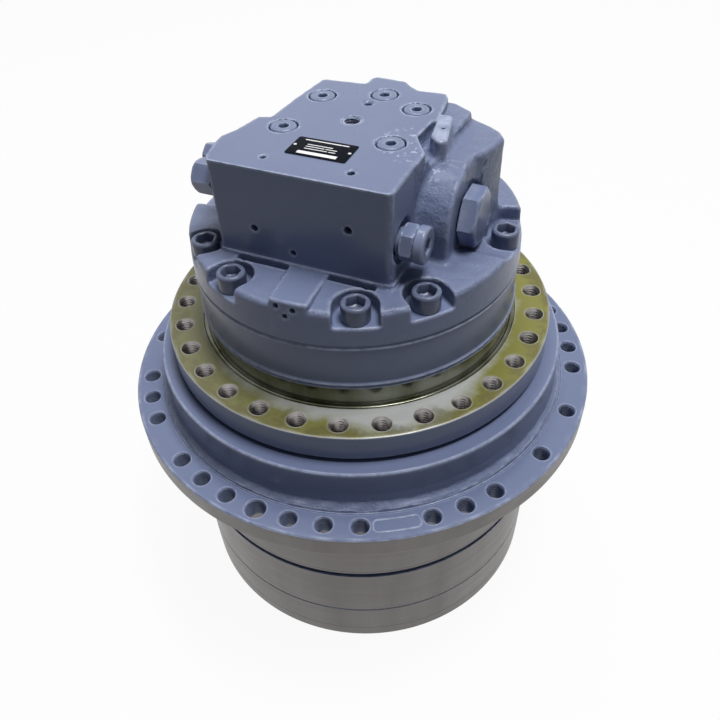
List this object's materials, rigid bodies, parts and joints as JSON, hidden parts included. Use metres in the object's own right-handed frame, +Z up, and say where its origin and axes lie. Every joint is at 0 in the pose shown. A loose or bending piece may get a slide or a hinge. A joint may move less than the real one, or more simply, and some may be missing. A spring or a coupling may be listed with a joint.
{
  "type": "excavator final drive",
  "caption": "Planetary travel drive of a tracked excavator with its piston motor, frame flange, sprocket flange and valve block.",
  "frame": {"origin": "middle of the end cover's underside, under the hub's axis of rotation", "axes": "+Z up the hub's axis towards the motor, -Y out of the valve block's flat front, +X towards the bigger spool cap's side"},
  "size_m": [0.47, 0.47, 0.5116],
  "materials": {
    "blue_grey_enamel": "glossy blue-grey primer enamel over castings",
    "drum_enamel": "worn warm grey enamel over turned steel",
    "bare_steel": "turned and ground steel",
    "gear_steel": "hardened oiled steel",
    "bronze": "bearing bronze",
    "seal_rubber": "black nitrile rubber",
    "black_plate": "black printed plate"
  },
  "bodies": {
    "casing": {"motor_casing": "blue_grey_enamel", "motor_cover": "blue_grey_enamel", "cover_screw_01": "blue_grey_enamel", "cover_screw_02": "blue_grey_enamel", "cover_screw_03": "blue_grey_enamel", "cover_screw_04": "blue_grey_enamel", "cover_screw_05": "blue_grey_enamel", "cover_screw_06": "blue_grey_enamel", "cover_screw_07": "blue_grey_enamel", "cover_screw_08": "blue_grey_enamel", "cover_screw_09": "blue_grey_enamel", "cover_screw_10": "blue_grey_enamel", "gallery_plug_1": "blue_grey_enamel", "gallery_plug_2": "blue_grey_enamel", "gallery_plug_3": "blue_grey_enamel", "gallery_plug_4": "blue_grey_enamel", "gallery_plug_5": "blue_grey_enamel", "spool_cap_right": "blue_grey_enamel", "spool_cap_left": "blue_grey_enamel", "relief_plug_right": "blue_grey_enamel", "relief_plug_left": "blue_grey_enamel", "test_port_plug": "blue_grey_enamel", "name_plate": "black_plate", "fixed_seal_ring": "bare_steel", "lower_inner_race": "bare_steel", "upper_inner_race": "bare_steel", "bearing_nut": "bare_steel", "carrier_2": "bare_steel", "shaft_bearing": "gear_steel", "shaft_seal": "seal_rubber", "valve_plate": "bronze", "brake_steel_disc": "bare_steel"},
    "hub": {"hub": "blue_grey_enamel", "ring_gear_stage_1": "drum_enamel", "ring_gear_stage_2": "drum_enamel", "end_cover": "drum_enamel", "drain_plug": "bare_steel", "level_plug": "bare_steel", "running_seal_ring": "bare_steel", "lower_outer_race": "bare_steel", "upper_outer_race": "bare_steel"},
    "lower_balls": {"lower_ball_set": "gear_steel"},
    "upper_balls": {"upper_ball_set": "gear_steel"},
    "first_carrier": {"carrier_1": "bare_steel", "sun_gear_2": "gear_steel"},
    "first_planet_1": {"planet_1_1": "gear_steel"},
    "first_planet_2": {"planet_1_2": "gear_steel"},
    "first_planet_3": {"planet_1_3": "gear_steel"},
    "second_planet_1": {"planet_2_1": "gear_steel"},
    "second_planet_2": {"planet_2_2": "gear_steel"},
    "second_planet_3": {"planet_2_3": "gear_steel"},
    "second_planet_4": {"planet_2_4": "gear_steel"},
    "motor_shaft": {"drive_shaft": "bare_steel", "sun_gear_1": "gear_steel", "cylinder_block": "bare_steel", "piston_set": "gear_steel", "brake_friction_disc": "bronze"},
    "swash_plate": {"swash_plate": "bare_steel"},
    "brake_piston": {"brake_piston": "bare_steel"},
    "spool": {"counterbalance_spool": "bare_steel"}
  },
  "joints": [
    {"name": "hub_spin", "type": "hinge", "parent": "casing", "child": "hub", "pos_m": [0, 0, 0.253], "axis": [0, 0, 1], "continuous": true},
    {"name": "lower_balls_roll", "type": "hinge", "parent": "casing", "child": "lower_balls", "pos_m": [0, 0, 0.158], "axis": [0, 0, 1], "continuous": true},
    {"name": "upper_balls_roll", "type": "hinge", "parent": "casing", "child": "upper_balls", "pos_m": [0, 0, 0.249], "axis": [0, 0, 1], "continuous": true},
    {"name": "first_carrier_spin", "type": "hinge", "parent": "casing", "child": "first_carrier", "pos_m": [0, 0, 0.05], "axis": [0, 0, 1], "continuous": true},
    {"name": "first_planet_1_spin", "type": "hinge", "parent": "first_carrier", "child": "first_planet_1", "pos_m": [0, 0.096, 0.033], "axis": [0, 0, 1], "continuous": true},
    {"name": "first_planet_2_spin", "type": "hinge", "parent": "first_carrier", "child": "first_planet_2", "pos_m": [-0.08314, -0.048, 0.033], "axis": [0, 0, 1], "continuous": true},
    {"name": "first_planet_3_spin", "type": "hinge", "parent": "first_carrier", "child": "first_planet_3", "pos_m": [0.08314, -0.048, 0.033], "axis": [0, 0, 1], "continuous": true},
    {"name": "second_planet_1_spin", "type": "hinge", "parent": "casing", "child": "second_planet_1", "pos_m": [0.06788, 0.06788, 0.09], "axis": [0, 0, 1], "continuous": true},
    {"name": "second_planet_2_spin", "type": "hinge", "parent": "casing", "child": "second_planet_2", "pos_m": [-0.06788, 0.06788, 0.09], "axis": [0, 0, 1], "continuous": true},
    {"name": "second_planet_3_spin", "type": "hinge", "parent": "casing", "child": "second_planet_3", "pos_m": [-0.06788, -0.06788, 0.09], "axis": [0, 0, 1], "continuous": true},
    {"name": "second_planet_4_spin", "type": "hinge", "parent": "casing", "child": "second_planet_4", "pos_m": [0.06788, -0.06788, 0.09], "axis": [0, 0, 1], "continuous": true},
    {"name": "motor_spin", "type": "hinge", "parent": "casing", "child": "motor_shaft", "pos_m": [0, 0, 0.33], "axis": [0, 0, 1], "continuous": true},
    {"name": "swash_tilt", "type": "hinge", "parent": "casing", "child": "swash_plate", "pos_m": [0, 0, 0.2593], "axis": [1, 0, 0], "range_deg": [-9, 0]},
    {"name": "brake_release", "type": "slide", "parent": "casing", "child": "brake_piston", "axis": [0, 0, 1], "range_m": [0, 0.002]},
    {"name": "spool_shift", "type": "slide", "parent": "casing", "child": "spool", "axis": [1, 0, 0], "range_m": [-0.004, 0.004]}
  ],
  "couplings": [
    {"joint": "lower_balls_roll", "follows": "hub_spin", "ratio": 0.53},
    {"joint": "upper_balls_roll", "follows": "hub_spin", "ratio": 0.53},
    {"joint": "first_carrier_spin", "follows": "hub_spin", "ratio": -4.3333},
    {"joint": "first_planet_1_spin", "follows": "hub_spin", "ratio": 14.476},
    {"joint": "first_planet_2_spin", "follows": "hub_spin", "ratio": 14.476},
    {"joint": "first_planet_3_spin", "follows": "hub_spin", "ratio": 14.476},
    {"joint": "second_planet_1_spin", "follows": "hub_spin", "ratio": 2.6},
    {"joint": "second_planet_2_spin", "follows": "hub_spin", "ratio": 2.6},
    {"joint": "second_planet_3_spin", "follows": "hub_spin", "ratio": 2.6},
    {"joint": "second_planet_4_spin", "follows": "hub_spin", "ratio": 2.6},
    {"joint": "motor_spin", "follows": "hub_spin", "ratio": -24.6}
  ]
}
